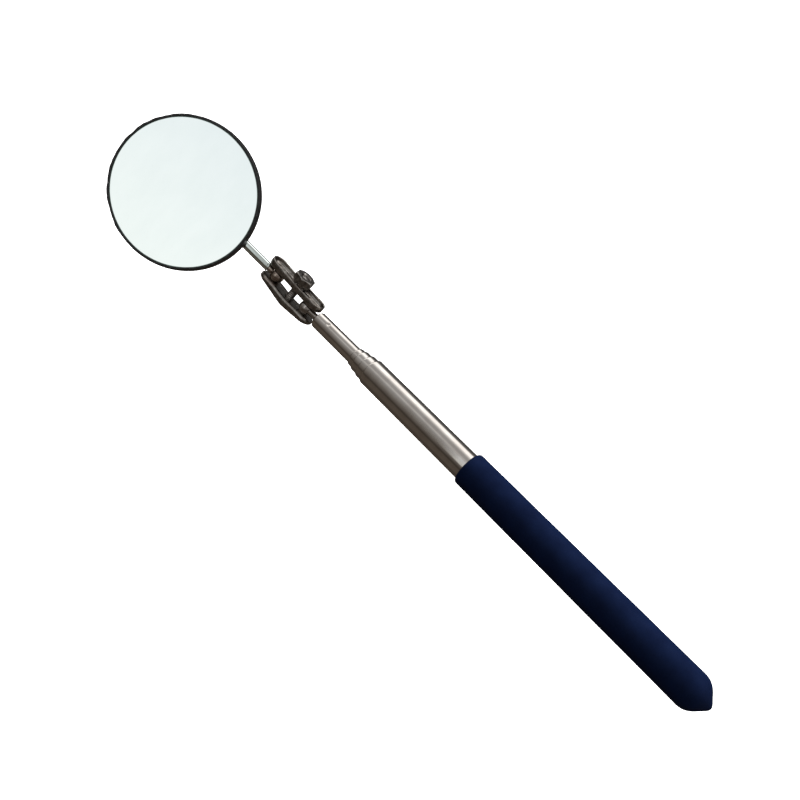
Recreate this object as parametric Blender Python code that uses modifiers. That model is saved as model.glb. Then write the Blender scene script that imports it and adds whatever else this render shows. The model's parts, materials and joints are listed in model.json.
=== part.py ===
"""Telescoping inspection mirror, collapsed, lying on its grip and its mirror rim.

World: metres, +Z up, the floor at Z = 0, the grip towards +X and the mirror towards -X.
Dimensions below are in millimetres and degrees; everything is turned into metres by MM.

Each joint has an empty on its axis and each piece hangs on the empty of its body:
  tool_axis        at the handle ball, local +Z along the tubes towards the mirror
  handle_pivot     tilts the handle ball about the tool's local X
  clamp_pivot      swings the clamp about its plates' normal, local Y, through the handle ball
  mirror_pivot     swings the mirror ball about the plates' normal, through the mirror ball
  stem_pivot       tilts the stem about local X
  head_pivot       spins the mirror head about the stem, local Z; local +X is the way the mirror faces
  mirror_centre    middle of the glass, local +Z out of the glass
"""

from math import atan2, cos, pi, radians, sin, sqrt

import bmesh
import bpy
from mathutils import Matrix

MM = 0.001
ROUND = 32                    # sides of a round piece
GAP = 0.05                    # air between pieces that touch on the real tool
FIT = 0.06                    # air between a bushing or shank and the bore it sits in
EDGE = 0.3                    # chamfer on turned edges

# ---- where the tool lies ------------------------------------------------------------------
TOOL_X = -57.37               # handle ball, from the middle of the tool's length
TOOL_Y = 18.64
ROLL = -20.2                  # plates' normal away from upright, about the tool axis

# ---- the joints, as the tool lies ---------------------------------------------------------
HANDLE_TILT = -8.85
CLAMP_SWING = 11.7
MIRROR_SWING = 12.7
STEM_TILT = -2.7
HEAD_SPIN = 20.1
NUT_TURN = -19.0

# ---- grip and telescoping tubes (distances are from the handle ball towards the grip) -------
GRIP_R = 6.8
GRIP_START = 92.0
GRIP_END = 198.9
GRIP_NOSE = 6.6               # length of the rounded closed end
GRIP_MOUTH_FILLET = 1.2
OUTER_TUBE_R = 5.6
TUBE_STEP = 0.525             # each tube is this much smaller in radius than the one round it
TUBE_WALL = 0.3
TUBE_MOUTHS = (39.0, 35.7, 32.4, 30.1, 7.3)
MOUTH_ROLL = 0.9              # length over which a mouth is rolled in
MOUTH_LAND = 0.12             # flat end face of a mouth
MOUTH_CLEARANCE = 0.05
STUD_MOUTH_R = 2.35           # mouth of the inner tube, round the stud's neck
OUTER_TUBE_END = 195.5
PLUG_LENGTH = 4.0
BUSHING_FLANGE = 3.0
BUSHING_SPIGOT = 4.5
BUSHING_BORE = 1.6
BUSHING_WALL = 0.8
STAGE_PITCH = BUSHING_FLANGE + BUSHING_SPIGOT + 1.0

# ---- balls, necks and studs --------------------------------------------------------------
BALL_R = 2.95
NECK_R = 1.4
STUD_LENGTH = 11.0
SPIGOT_R = 0.9
SPIGOT_END = 8.0
STEM_R = 1.85
STEM_START = 4.6
STEM_END = 36.0

# ---- clamp (heights are from the plane through the balls, along the plates' normal) ---------
BALL_SPACING = 17.6
SCREW_ALONG = 8.0             # handle ball to the screw, along the plates
PLATE_HALF = 3.8              # half the width of a plate, and the radius of its ends
PLATE_OVERHANG = 5.7          # past a ball's centre
TRAY_WALL = 0.75
FRONT_INNER = 2.5
FRONT_FLOOR = 3.4
FRONT_RIM = 5.3
BACK_INNER = 2.2              # at the balls; the middle of the back plate stands further out
BACK_FLOOR = 3.6
BACK_RIM_END = 4.1
BACK_RIM_MIDDLE = 5.9
BACK_BOW = 0.5
BOW_STEPS = 20
SCREW_R = 1.75
SCREW_HOLE_R = 1.95
HEAD_R = 2.85
HEAD_H = 2.2
HEAD_EDGE = 0.7
WASHER_R = 3.7
WASHER_T = 0.8
WASHER_SPLIT = 8.0            # half the angle of the split
NUT_FLATS = 7.94
NUT_H = 3.0
SCREW_BELOW_NUT = 0.4         # screw end below the top of the nut

# ---- mirror head --------------------------------------------------------------------------
GLASS_R = 28.8
GLASS_T = 2.0
GLASS_BEVEL = 0.5
PAD_R = 28.5
PAD_T = 0.9
PAD_EASE = 0.15
CASE_R = 29.8
CASE_LIP_OUTER = 29.4         # the crimped edge is smaller than the cup below it
CASE_BORE = 28.9
CASE_BACK_T = 0.7
CASE_CORNER = 0.8
LIP_R = 28.35                 # edge of the crimped lip, over the glass
LIP_T = 0.35
HEAD_REACH = 46.7             # mirror ball to the middle of the glass, along the stem
STEM_OFFSET = 2.5             # stem beside the middle of the glass
SADDLE_START = 21.5
SADDLE_LENGTH = 10.0
SADDLE_T = 0.8
SADDLE_HALF = 6.8

CASE_DEPTH = GLASS_T + PAD_T + CASE_BACK_T + 2 * GAP
FACE_HEIGHT = STEM_R + GAP + CASE_DEPTH      # stem axis to the front of the glass
TUBES = len(TUBE_MOUTHS)
NUT_BASE = FRONT_RIM + WASHER_T + 2 * GAP


# ---- scene helpers --------------------------------------------------------------------------
def clear_scene():
    for obj in list(bpy.data.objects):
        bpy.data.objects.remove(obj, do_unlink=True)


def new_collection(name):
    collection = bpy.data.collections.new(name)
    bpy.context.scene.collection.children.link(collection)
    return collection


def material(name, colour, roughness, metallic):
    made = bpy.data.materials.new(name)
    made.use_nodes = True
    shader = made.node_tree.nodes["Principled BSDF"]
    shader.inputs["Base Color"].default_value = (*colour, 1.0)
    shader.inputs["Roughness"].default_value = roughness
    shader.inputs["Metallic"].default_value = metallic
    return made


def hang(obj, parent, at=(0, 0, 0), turn=None):
    """Parent an object to an empty; at is in millimetres and turn is a rotation matrix."""
    obj.parent = parent
    obj.matrix_basis = Matrix.Translation([v * MM for v in at]) @ (turn or Matrix())
    return obj


def empty(name, parent, at=(0, 0, 0), turn=None):
    made = bpy.data.objects.new(name, None)
    made.empty_display_size = 5 * MM
    PARTS.objects.link(made)
    return hang(made, parent, at, turn)


def place(obj, parent, mat, at=(0, 0, 0), turn=None):
    """Hang a finished piece on its body's empty."""
    PARTS.objects.link(obj)
    obj.data.materials.append(mat)
    return hang(obj, parent, at, turn)


def cutter(obj, parent, at=(0, 0, 0), turn=None):
    CUTTERS.objects.link(obj)
    obj.hide_render = True
    obj.display_type = "WIRE"
    return hang(obj, parent, at, turn)


def cut(obj, tool, operation="DIFFERENCE"):
    step = obj.modifiers.new(tool.name, "BOOLEAN")
    step.operation = operation
    step.solver = "EXACT"
    step.object = tool


# ---- shapes ----------------------------------------------------------------------------------
def turned(name, profile, sides=ROUND, closed=True):
    """A turned piece from (radius, height) points, down the outer side and up the inner one."""
    mesh = bpy.data.meshes.new(name)
    points = [(r * MM, 0.0, z * MM) for r, z in profile]
    edges = [(i, i + 1) for i in range(len(points) - 1)]
    if closed:
        edges.append((len(points) - 1, 0))
    mesh.from_pydata(points, edges, [])
    obj = bpy.data.objects.new(name, mesh)
    turn = obj.modifiers.new("turn", "SCREW")
    turn.steps = sides
    turn.render_steps = sides
    turn.use_merge_vertices = True
    turn.merge_threshold = 0.00001
    turn.use_smooth_shade = True
    return obj


def arc(centre, radius, start, end, steps):
    """Points on a circle from one angle in degrees to another."""
    angles = [radians(start + (end - start) * i / steps) for i in range(steps + 1)]
    return [(centre[0] + radius * cos(a), centre[1] + radius * sin(a)) for a in angles]


def circle(radius, along=0.0, sides=20):
    """A hole outline on a plate, at a distance along it from its middle."""
    return arc((0.0, along), radius, 0, 360 * (sides - 1) / sides, sides - 1)


def flat_piece(name, outlines, thickness):
    """A plate cut from closed outlines in local XY; outlines after the first are holes."""
    curve = bpy.data.curves.new(name, "CURVE")
    curve.dimensions = "2D"
    curve.fill_mode = "BOTH"
    curve.extrude = thickness * MM / 2
    for outline in outlines:
        spline = curve.splines.new("POLY")
        spline.points.add(len(outline) - 1)
        for point, (x, y) in zip(spline.points, outline):
            point.co = (x * MM, y * MM, 0.0, 1.0)
        spline.use_cyclic_u = True
    source = bpy.data.objects.new(name + "_outline", curve)
    CUTTERS.objects.link(source)
    graph = bpy.context.evaluated_depsgraph_get()
    mesh = bpy.data.meshes.new_from_object(source.evaluated_get(graph))
    bpy.data.objects.remove(source, do_unlink=True)
    weld = bmesh.new()
    weld.from_mesh(mesh)
    bmesh.ops.remove_doubles(weld, verts=weld.verts, dist=0.000001)
    weld.to_mesh(mesh)
    weld.free()
    mesh.name = name
    mesh.materials.clear()
    return bpy.data.objects.new(name, mesh)


def cylinder(name, radius, height, sides):
    mesh = bpy.data.meshes.new(name)
    shape = bmesh.new()
    bmesh.ops.create_cone(shape, cap_ends=True, segments=sides, radius1=radius * MM,
                          radius2=radius * MM, depth=height * MM)
    shape.to_mesh(mesh)
    shape.free()
    return bpy.data.objects.new(name, mesh)


def ball(name, parent, mat):
    mesh = bpy.data.meshes.new(name)
    shape = bmesh.new()
    bmesh.ops.create_uvsphere(shape, u_segments=28, v_segments=16, radius=BALL_R * MM)
    shape.to_mesh(mesh)
    shape.free()
    mesh.shade_smooth()
    return place(bpy.data.objects.new(name, mesh), parent, mat)


def ball_socket(radius, steps=4):
    """Hollow end that fits over a ball at the origin, from the rim of the given radius to the axis."""
    shell = BALL_R + GAP
    top = atan2(sqrt(shell ** 2 - radius ** 2), radius)
    angles = [top + (pi / 2 - top) * i / steps for i in range(steps)]
    return [(shell * cos(a), shell * sin(a)) for a in angles] + [(0.0, shell)]


# ---- grip and tubes --------------------------------------------------------------------------
def tube_radius(i):
    return OUTER_TUBE_R - i * TUBE_STEP


def tube_base(i):
    """How far down the tool tube i ends; each one ends a stage short of the one round it."""
    if i == 0:
        return OUTER_TUBE_END
    return OUTER_TUBE_END - PLUG_LENGTH - GAP - BUSHING_FLANGE - GAP - (i - 1) * STAGE_PITCH


def tube(name, i, parent, mat):
    """Tube i, counted from the outside, its mouth rolled in over the next tube."""
    outer = tube_radius(i)
    bore = outer - TUBE_WALL
    lip = STUD_MOUTH_R
    if i + 1 < TUBES:
        lip = tube_radius(i + 1) + MOUTH_CLEARANCE
    top = -TUBE_MOUTHS[i]
    bottom = -tube_base(i)
    reach = outer - lip - 0.02
    profile = [(outer - reach + reach * cos(radians(a)), top - MOUTH_ROLL * (1 - sin(radians(a))))
               for a in (90, 67.5, 45, 22.5, 0)]
    profile += [(outer, bottom), (bore, bottom), (bore, top - MOUTH_ROLL - 0.2),
                (lip, top - MOUTH_ROLL + 0.25), (lip, top - MOUTH_LAND)]
    return place(turned(name, profile), parent, mat)


def bushing(name, i, parent, mat):
    """Turned bushing in the foot of tube i: a flange that slides in the tube outside and a spigot."""
    flange = tube_radius(i - 1) - TUBE_WALL - FIT
    spigot = tube_radius(i) - TUBE_WALL - FIT
    bore = min(BUSHING_BORE, spigot - BUSHING_WALL)
    foot = -tube_base(i) - GAP
    chamfer = EDGE / 2
    profile = [(spigot - chamfer, foot + BUSHING_SPIGOT), (spigot, foot + BUSHING_SPIGOT - chamfer),
               (spigot, foot), (flange, foot), (flange, foot - BUSHING_FLANGE),
               (bore, foot - BUSHING_FLANGE), (bore, foot + BUSHING_SPIGOT)]
    return place(turned(name, profile), parent, mat)


def end_plug(parent, mat):
    """Pressed into the end of the outer tube, inside the grip."""
    radius = OUTER_TUBE_R - TUBE_WALL - GAP
    top = -OUTER_TUBE_END + PLUG_LENGTH
    profile = [(0.0, top), (radius - EDGE, top), (radius, top - EDGE), (radius, -OUTER_TUBE_END),
               (0.0, -OUTER_TUBE_END)]
    return place(turned("outer_tube_end_plug", profile, closed=False), parent, mat)


def grip(parent, mat):
    """Closed sleeve over the outer tube: a rounded mouth, a straight body and a blunt nose."""
    bore = OUTER_TUBE_R + GAP
    top = -GRIP_START
    nose = -(GRIP_END - GRIP_NOSE)
    fillet = GRIP_MOUTH_FILLET
    nose_steps = 8
    profile = arc((GRIP_R - fillet, top - fillet), fillet, 88, 0, 4)
    for i in range(nose_steps):
        angle = pi / 2 * i / nose_steps
        profile.append((GRIP_R * cos(angle), nose - GRIP_NOSE * sin(angle)))
    profile += [(0.0, -GRIP_END), (0.0, -OUTER_TUBE_END - GAP), (bore, -OUTER_TUBE_END - GAP),
                (bore, top - MOUTH_LAND)]
    return place(turned("grip", profile), parent, mat)


def ball_stud(parent, mat):
    """Neck behind the handle ball and the shank that is held in the inner tube."""
    shank = tube_radius(TUBES - 1) - TUBE_WALL - FIT
    shoulder = -TUBE_MOUTHS[-1] - MOUTH_ROLL - 0.35
    socket = [(r, -z) for r, z in reversed(ball_socket(NECK_R))]
    profile = socket + [(NECK_R, shoulder), (shank - EDGE, shoulder), (shank, shoulder - EDGE),
                        (shank, shoulder - STUD_LENGTH), (0.0, shoulder - STUD_LENGTH)]
    return place(turned("ball_stud", profile, closed=False), parent, mat)


# ---- clamp ----------------------------------------------------------------------------------
def plate_outline(inset=0.0):
    """Straight sides and round ends, seen along the plates' normal."""
    radius = PLATE_HALF - inset
    end = BALL_SPACING / 2 + PLATE_OVERHANG - PLATE_HALF
    return arc((0.0, end), radius, 0, 180, 14) + arc((0.0, -end), radius, 180, 360, 14)


def plate_slab(name, inset, low, high):
    """The plates' outline as a solid between two heights; it is hung where slab_at says."""
    return flat_piece(name, [plate_outline(inset)], high - low)


def slab_at(low, high):
    return (0, (low + high) / 2, BALL_SPACING / 2)


def drill_plate(plate, inner, parent):
    """Seat holes for the balls and the screw's hole, through the plate's floor."""
    seat = sqrt(BALL_R ** 2 - inner ** 2) + GAP
    for tag, along, radius in (("handle", 0.0, seat), ("mirror", BALL_SPACING, seat),
                               ("screw", SCREW_ALONG, SCREW_HOLE_R)):
        drill = cylinder(f"{plate.name}_{tag}_drill", radius, 30, 20)
        cut(plate, cutter(drill, parent, (0, 0, along), PLATE_TURN))


def front_plate(parent, mat):
    """Pressed tray under the nut: a floor with a seat over each ball, and a wall all round."""
    plate = plate_slab("clamp_plate_front", 0.0, FRONT_INNER, FRONT_RIM)
    place(plate, parent, mat, slab_at(FRONT_INNER, FRONT_RIM), PLATE_TURN)
    top = FRONT_RIM + 1
    pocket = plate_slab("front_pocket_cutter", TRAY_WALL, FRONT_FLOOR, top)
    cut(plate, cutter(pocket, parent, slab_at(FRONT_FLOOR, top), PLATE_TURN))
    drill_plate(plate, FRONT_INNER, parent)
    return plate


def back_plate(parent, mat):
    """The same tray on the screw head's side, bowed outwards and deepest at the screw."""
    reach = BALL_SPACING / 2 + PLATE_OVERHANG + 1
    bend = SCREW_ALONG - BALL_SPACING / 2
    stations = [reach * (i / BOW_STEPS * 2 - 1) for i in range(BOW_STEPS + 1)]

    def rise(z):
        """1 at the screw and 0 at and past the handle ball and as far on its other side."""
        return (1 + cos(pi * min(abs(z - bend) / SCREW_ALONG, 1.0))) / 2

    inner = [(z, BACK_INNER + BACK_BOW * rise(z)) for z in stations]
    ridge = BACK_RIM_MIDDLE - BACK_RIM_END
    slope = ridge / (reach - abs(bend))
    rim = [(z, BACK_RIM_END + max(0.0, ridge - slope * abs(z - bend))) for z in reversed(stations)]
    strip = flat_piece("clamp_plate_back", [inner + rim], 2 * PLATE_HALF + 2)
    centre = (0, 0, BALL_SPACING / 2)
    place(strip, parent, mat, centre, STRIP_TURN)
    outline = cutter(plate_slab("back_outline_cutter", 0.0, -15, 15), parent, centre, PLATE_TURN)
    cut(strip, outline, "INTERSECT")
    low = -BACK_RIM_MIDDLE - 1
    pocket = plate_slab("back_pocket_cutter", TRAY_WALL, low, -BACK_FLOOR)
    cut(strip, cutter(pocket, parent, slab_at(low, -BACK_FLOOR), PLATE_TURN))
    drill_plate(strip, BACK_INNER, parent)
    return strip


def clamp_screw(parent, mat):
    """Pan head in the back plate's tray, shank through both plates, end inside the nut."""
    under_head = -BACK_FLOOR - GAP
    end = NUT_BASE + NUT_H - SCREW_BELOW_NUT
    chamfer = 0.35
    profile = [(0.0, end), (SCREW_R - chamfer, end), (SCREW_R, end - chamfer), (SCREW_R, under_head),
               (HEAD_R, under_head)]
    for i in range(5):
        angle = pi / 2 * i / 5
        dome = (HEAD_H - HEAD_EDGE) * sin(angle)
        profile.append((HEAD_R * cos(angle), under_head - HEAD_EDGE - dome))
    profile.append((0.0, under_head - HEAD_H))
    screw = turned("clamp_screw", profile, 24, closed=False)
    return place(screw, parent, mat, (0, 0, SCREW_ALONG), TURNED_TO_NORMAL)


def lock_washer(parent, mat):
    """Split ring between the nut and the front plate's rim."""
    split = WASHER_SPLIT
    bore_split = split * 1.6
    ring = arc((0, 0), WASHER_R, split, 360 - split, 28)
    ring += arc((0, 0), SCREW_HOLE_R, 360 - bore_split, bore_split, 28)
    washer = flat_piece("clamp_lock_washer", [ring], WASHER_T)
    height = FRONT_RIM + GAP + WASHER_T / 2
    return place(washer, parent, mat, (0, height, SCREW_ALONG), PLATE_TURN)


def clamp_nut(parent, mat):
    """Hex nut with its corners chamfered on top, bored for the screw."""
    corner = NUT_FLATS / sqrt(3)
    nut = cylinder("clamp_nut", corner, NUT_H, 6)
    place(nut, parent, mat, (0, 0, 0), TURNED_TO_NORMAL)
    slope = (corner - NUT_FLATS / 2) * 0.75
    top = NUT_H / 2
    bell = turned("nut_chamfer_cutter",
                  [(0.0, top), (NUT_FLATS / 2, top), (corner + GAP, top - slope),
                   (corner + GAP, -2 * top), (0.0, -2 * top)], 24, closed=False)
    cut(nut, cutter(bell, parent, (0, 0, 0), TURNED_TO_NORMAL), "INTERSECT")
    bore = cylinder("nut_bore_cutter", SCREW_R + GAP, 3 * NUT_H, 24)
    cut(nut, cutter(bore, parent, (0, 0, 0), TURNED_TO_NORMAL))
    return nut


# ---- mirror head ----------------------------------------------------------------------------
def mirror_ball_neck(parent, mat):
    """Neck on the mirror ball and the spigot that carries the stem."""
    top = STEM_START - GAP
    profile = [(0.0, SPIGOT_END), (SPIGOT_R, SPIGOT_END), (SPIGOT_R, top), (NECK_R, top)]
    profile += ball_socket(NECK_R)
    return place(turned("mirror_ball_neck", profile, 24, closed=False), parent, mat)


def mirror_stem(parent, mat):
    """Round rod from the mirror ball's neck to its chamfered end behind the mirror."""
    socket = SPIGOT_R + GAP
    floor = SPIGOT_END + 0.2
    profile = [(0.0, STEM_END), (STEM_R - EDGE, STEM_END), (STEM_R, STEM_END - EDGE),
               (STEM_R, STEM_START + EDGE), (STEM_R - EDGE, STEM_START), (socket, STEM_START),
               (socket, floor), (0.0, floor)]
    return place(turned("mirror_stem", profile, 24, closed=False), parent, mat)


def stem_saddle(parent, mat):
    """Bent strap on the case's back that holds the end of the stem."""
    top = STEM_R
    low = top - SADDLE_T
    inner = STEM_R + GAP
    outer = inner + SADDLE_T
    outline = [(top, -SADDLE_HALF), (top, -inner)]
    outline += arc((0, 0), inner, 270, 90, 12)
    outline += [(top, inner), (top, SADDLE_HALF), (low, SADDLE_HALF), (low, outer)]
    outline += arc((0, 0), outer, 90, 270, 12)
    outline += [(low, -outer), (low, -SADDLE_HALF)]
    saddle = flat_piece("stem_saddle", [outline], SADDLE_LENGTH)
    return place(saddle, parent, mat, (0, 0, SADDLE_START + SADDLE_LENGTH / 2))


def mirror_case(parent, mat):
    """Pressed cup whose edge is crimped in over the glass."""
    back = -CASE_DEPTH
    lip = GAP
    face = lip + LIP_T
    profile = [(LIP_R, face - 0.07), (LIP_R + 0.2, face), (CASE_LIP_OUTER - EDGE, face),
               (CASE_LIP_OUTER, face - EDGE), (CASE_R, back + 2.0), (CASE_R, back + CASE_CORNER),
               (CASE_R - 0.25, back + 0.25), (CASE_R - CASE_CORNER, back), (0.0, back),
               (0.0, back + CASE_BACK_T), (CASE_BORE, back + CASE_BACK_T), (CASE_BORE, lip), (LIP_R, lip)]
    return place(turned("mirror_case", profile, 64), parent, mat)


def disc(name, radius, thickness, ease, top, parent, mat):
    """A flat disc with eased edges whose upper face is at the given height."""
    low = top - thickness
    profile = [(0.0, top), (radius - ease, top), (radius, top - ease), (radius, low + ease),
               (radius - ease, low), (0.0, low)]
    return place(turned(name, profile, 64, closed=False), parent, mat)


clear_scene()
PARTS = new_collection("telescoping_inspection_mirror")
CUTTERS = new_collection("cutters")

AIM = Matrix(((0, 0, -1, 0), (-1, 0, 0, 0), (0, 1, 0, 0), (0, 0, 0, 1)))   # local Z to -X, local Y up
PLATE_TURN = Matrix.Rotation(-pi / 2, 4, "X")                              # outline's normal to local Y
TURNED_TO_NORMAL = Matrix.Rotation(-pi / 2, 4, "X")                        # turned axis to local Y
STRIP_TURN = Matrix(((0, 0, 1, 0), (0, -1, 0, 0), (1, 0, 0, 0), (0, 0, 0, 1)))   # outline XY to Z, -Y
FACE_TURN = Matrix.Rotation(pi / 2, 4, "Y")                                # local Z to local X

nickel = material("nickel_plated_tube", (0.62, 0.59, 0.56), 0.22, 1.0)
chrome = material("chrome_rod", (0.78, 0.80, 0.78), 0.15, 1.0)
steel = material("plated_steel", (0.33, 0.30, 0.27), 0.35, 1.0)
brass = material("brass", (0.68, 0.50, 0.22), 0.30, 1.0)
vinyl = material("navy_vinyl", (0.006, 0.018, 0.085), 0.75, 0.0)
black_paint = material("black_case", (0.012, 0.012, 0.014), 0.40, 0.0)
silvered = material("mirror_glass", (0.86, 0.90, 0.87), 0.03, 1.0)
foam = material("pad_foam", (0.55, 0.55, 0.52), 0.90, 0.0)


def about(axis, degrees):
    return Matrix.Rotation(radians(degrees), 4, axis)


tool_axis = empty("tool_axis", None, (TOOL_X, TOOL_Y, GRIP_R + GAP), about("X", ROLL) @ AIM)
handle_pivot = empty("handle_pivot", tool_axis, turn=about("X", HANDLE_TILT))
clamp_pivot = empty("clamp_pivot", handle_pivot, turn=about("Y", CLAMP_SWING))
nut_pivot = empty("nut_pivot", clamp_pivot, (0, NUT_BASE + NUT_H / 2, SCREW_ALONG), about("Y", NUT_TURN))
mirror_pivot = empty("mirror_pivot", clamp_pivot, (0, 0, BALL_SPACING), about("Y", MIRROR_SWING))
stem_pivot = empty("stem_pivot", mirror_pivot, turn=about("X", STEM_TILT))
head_pivot = empty("head_pivot", stem_pivot, turn=about("Z", HEAD_SPIN))
mirror_centre = empty("mirror_centre", head_pivot, (FACE_HEIGHT, -STEM_OFFSET, HEAD_REACH), FACE_TURN)

grip(tool_axis, vinyl)
end_plug(tool_axis, steel)
tube("tube_1_outer", 0, tool_axis, nickel)
for number in range(1, TUBES):
    last = number + 1 == TUBES
    tube(f"tube_{number + 1}" + ("_inner" if last else ""), number, tool_axis, nickel)
    bushing(f"bushing_{number + 1}", number, tool_axis, brass)
ball_stud(tool_axis, steel)
ball("handle_ball", handle_pivot, steel)

front_plate(clamp_pivot, steel)
back_plate(clamp_pivot, steel)
clamp_screw(clamp_pivot, steel)
lock_washer(clamp_pivot, steel)
clamp_nut(nut_pivot, steel)

ball("mirror_ball", mirror_pivot, steel)
mirror_ball_neck(stem_pivot, steel)
mirror_stem(head_pivot, chrome)
stem_saddle(head_pivot, steel)
mirror_case(mirror_centre, black_paint)
disc("mirror_glass", GLASS_R, GLASS_T, GLASS_BEVEL, 0.0, mirror_centre, silvered)
disc("mirror_pad", PAD_R, PAD_T, PAD_EASE, -GLASS_T - GAP, mirror_centre, foam)
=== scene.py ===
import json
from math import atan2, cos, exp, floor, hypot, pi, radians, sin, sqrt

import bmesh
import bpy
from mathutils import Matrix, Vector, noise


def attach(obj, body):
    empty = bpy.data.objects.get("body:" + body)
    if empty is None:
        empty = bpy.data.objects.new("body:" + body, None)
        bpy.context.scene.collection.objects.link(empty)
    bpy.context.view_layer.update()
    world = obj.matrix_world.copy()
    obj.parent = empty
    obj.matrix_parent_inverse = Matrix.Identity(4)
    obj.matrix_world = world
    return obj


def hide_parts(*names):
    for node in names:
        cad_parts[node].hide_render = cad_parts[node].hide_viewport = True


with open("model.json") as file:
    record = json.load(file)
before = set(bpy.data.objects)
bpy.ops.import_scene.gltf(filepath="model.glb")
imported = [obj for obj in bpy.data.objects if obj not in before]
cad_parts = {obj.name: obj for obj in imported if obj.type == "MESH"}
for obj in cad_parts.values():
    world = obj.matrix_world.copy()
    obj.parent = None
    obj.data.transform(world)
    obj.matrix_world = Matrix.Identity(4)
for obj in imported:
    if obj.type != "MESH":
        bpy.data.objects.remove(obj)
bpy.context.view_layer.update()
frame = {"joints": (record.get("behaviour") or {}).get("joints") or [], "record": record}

# Telescoping inspection mirror: detailed pieces, materials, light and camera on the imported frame.
#
# Every piece is modelled in millimetres in the frame of its own body and carried to the world by
# that frame's matrix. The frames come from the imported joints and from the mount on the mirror's rim:
#   TOOL         handle ball, Z along the tubes towards the mirror
#   HANDLE       handle ball, Y the plates' normal, X the axis that the tubes tilt about
#   CLAMP        handle ball, Y the plates' normal towards the nut, Z towards the mirror ball
#   SCREW        the screw's axis level with the balls, Z the plates' normal
#   NUT          the nut's lower face, Z the plates' normal, turned with the nut
#   MIRROR_SIDE  mirror ball, Y the plates' normal, X the axis that the stem tilts about
#   STEM         mirror ball, Z along the stem
#   HEAD         as STEM, X the way the mirror faces
#   FACE         middle of the glass, Z out of the glass

MM = 0.001
GAP = 0.05                    # air between pieces that touch
FIT = 0.06                    # air round a bushing or shank
HOLD = 1.15                   # where flats beside a rounded corner start, for clean shading

# ---- grip and telescoping tubes (distances are from the handle ball towards the grip) -------
GRIP_R = 6.8
GRIP_START = 92.0
GRIP_END = 198.9
GRIP_NOSE = 6.6
GRIP_DRIP = 1.6               # height of the drip left at the nose by dipping
GRIP_DRIP_R = 2.4             # how far it spreads
GRIP_MOUTH_FILLET = 1.2
GRIP_WAVE = 0.05
OUTER_TUBE_R = 5.6
TUBE_STEP = 0.525
TUBE_WALL = 0.3
TUBE_MOUTHS = (39.0, 35.7, 32.4, 30.1, 7.3)
MOUTH_ROLL = 0.9
MOUTH_LAND = 0.12
STUD_MOUTH_R = 2.35
OUTER_TUBE_END = 195.5
PLUG_LENGTH = 4.0
BUSHING_FLANGE = 3.0
BUSHING_SPIGOT = 4.5
BUSHING_BORE = 1.6
BUSHING_WALL = 0.8
STAGE_PITCH = BUSHING_FLANGE + BUSHING_SPIGOT + 1.0
STAKE_ALONG = 14.0            # punch mark that holds the stud in the inner tube
STAKE_ANGLE = 49.0
STAKE_R = 0.7
STAKE_DEPTH = 0.24

# ---- balls, necks and stem --------------------------------------------------------------
BALL_R = 2.95
BALL_FLAT = 0.55              # turned flat and centre mark on a ball, opposite its neck
NECK_R = 1.4
STUD_LENGTH = 11.0
SPIGOT_R = 0.9
SPIGOT_END = 8.0
STEM_R = 1.85
STEM_START = 4.6
STEM_END = 36.0

# ---- clamp ------------------------------------------------------------------------------
BALL_SPACING = 17.6
SCREW_ALONG = 8.0             # handle ball to the screw, along the plates
NUT_TURN = -19.0              # how far the nut is screwed round, in degrees
PLATE_HALF = 3.8
PLATE_OVERHANG = 5.7
TRAY_WALL = 0.75
TRAY_CORNER = 1.1
RIM_EDGE = 0.34
FRONT_INNER = 2.5
FRONT_FLOOR = 3.4
FRONT_RIM_MIDDLE = 5.28
FRONT_RIM_END = 5.65
FRONT_DISH = 1.3              # radius that runs from the front plate's wall into its floor
BACK_DISH = 0.2
BACK_INNER = 2.2
BACK_FLOOR = 3.6
BACK_RIM_END = 4.1
BACK_RIM_MIDDLE = 5.95
BACK_BOW = 0.5
BACK_BEND = 1.0               # how softly the back plate's rim turns at its middle
SEAT_FLARE = 0.55             # chamfer round a seat hole
SCREW_R = 1.72
SCREW_HOLE_R = 1.95
THREAD_PITCH = 0.79
THREAD_DEPTH = 0.26
HEAD_R = 2.85
HEAD_H = 2.2
HEAD_EDGE = 0.7
RECESS_ARM = 1.5
RECESS_HALF = 0.34
RECESS_DEPTH = 1.25
WASHER_R = 3.7
WASHER_T = 0.8
WASHER_SPLIT = 8.0            # half of the gap in the split washer, in degrees
WASHER_SEAT = 5.3             # height of the front plate's rim that the washer stands on
NUT_FLATS = 7.94
NUT_H = 3.0
NUT_BORE = 1.8
NUT_SINK = 0.5
SCREW_BELOW_NUT = 0.4
NUT_BASE = WASHER_SEAT + WASHER_T + 2 * GAP

# ---- mirror head ------------------------------------------------------------------------
GLASS_R = 28.8
GLASS_T = 2.0
GLASS_BEVEL = 0.5
PAD_R = 28.5
PAD_T = 0.9
CASE_R = 29.78
CASE_LIP_OUTER = 29.4
CASE_BORE = 28.9
CASE_BACK_T = 0.7
CASE_CORNER = 0.8
LIP_R = 28.5
LIP_T = 0.35
CRIMP_WAVE = 0.26             # unevenness of the crimped edge
CRIMP_REACH = 1.2             # how far down the cup's side it fades out
HEAD_REACH = 46.7
STEM_OFFSET = 2.5
SADDLE_START = 21.5
SADDLE_LENGTH = 10.0
SADDLE_T = 0.8
SADDLE_HALF = 6.8
WELD_R = 1.0
CASE_DEPTH = GLASS_T + PAD_T + CASE_BACK_T + 2 * GAP
FACE_HEIGHT = STEM_R + GAP + CASE_DEPTH


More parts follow.
